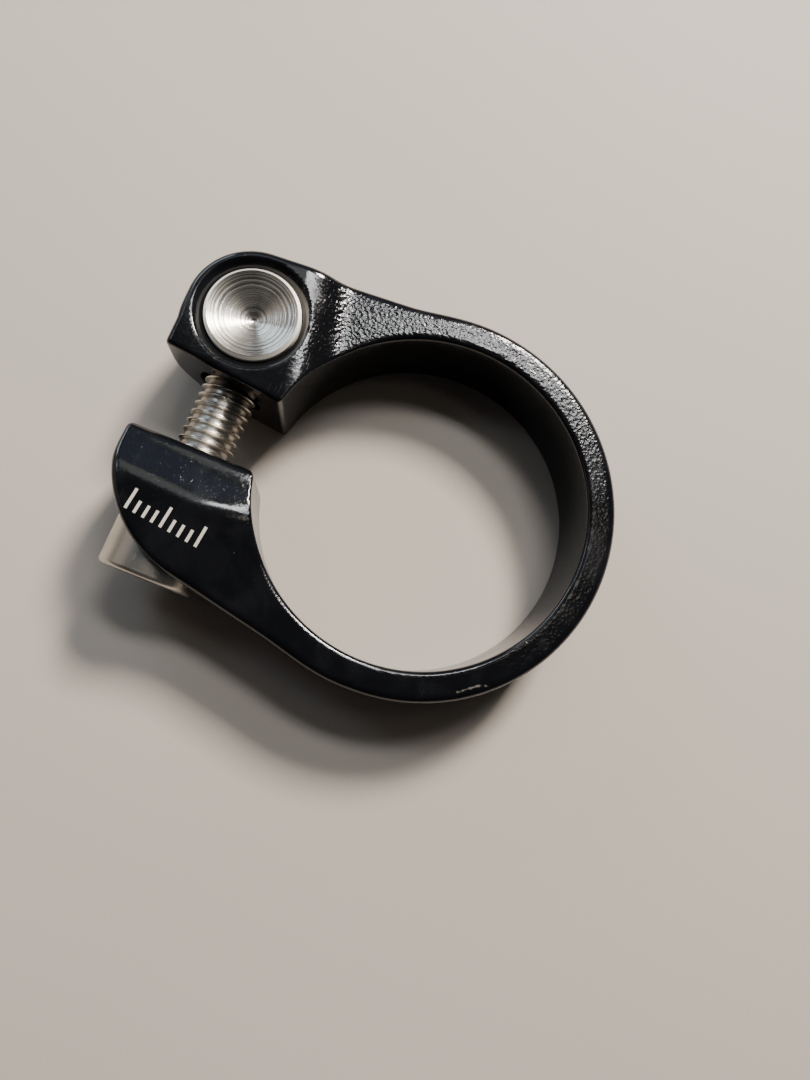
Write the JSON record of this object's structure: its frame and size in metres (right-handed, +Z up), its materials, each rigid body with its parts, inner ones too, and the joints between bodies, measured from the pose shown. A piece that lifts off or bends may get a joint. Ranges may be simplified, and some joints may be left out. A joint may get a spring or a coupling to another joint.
{
  "type": "seatpost clamp",
  "caption": "Split ring clamp for a seat tube: a black collar with two ears drawn together by a socket head bolt in a barrel nut.",
  "frame": {"origin": "on the bore axis at half the height of the ring", "axes": "+Z up along the bore axis, -X towards the slot and the ears, Y along the bolt with the barrel nut at +Y and the bolt head at -Y"},
  "size_m": [0.0514, 0.0412, 0.0121],
  "materials": {
    "black_paint": "gloss black paint over a forging",
    "turned_steel": "bright turned steel",
    "plated_steel": "plain bright plating",
    "bolt_steel": "bright plated steel"
  },
  "bodies": {
    "collar": {"collar": "black_paint"},
    "barrel_nut": {"barrel_nut": "turned_steel"},
    "washer": {"washer": "plated_steel"},
    "clamp_bolt": {"clamp_bolt": "bolt_steel"}
  },
  "joints": [
    {"name": "nut_swivel", "type": "hinge", "parent": "collar", "child": "barrel_nut", "pos_m": [-0.0235, 0.011, 0.0008], "axis": [0, 0, 1], "range_deg": [-0.7, 0.7]},
    {"name": "bolt_travel", "type": "slide", "parent": "barrel_nut", "child": "washer", "axis": [0, -1, 0], "range_m": [0, 0.006]},
    {"name": "bolt_turn", "type": "hinge", "parent": "washer", "child": "clamp_bolt", "pos_m": [-0.0235, -0.01202, 0.0008], "axis": [0, -1, 0], "range_deg": [0, 2160]}
  ],
  "couplings": [
    {"joint": "bolt_turn", "follows": "bolt_travel", "rad_per_m": 6283.2}
  ]
}
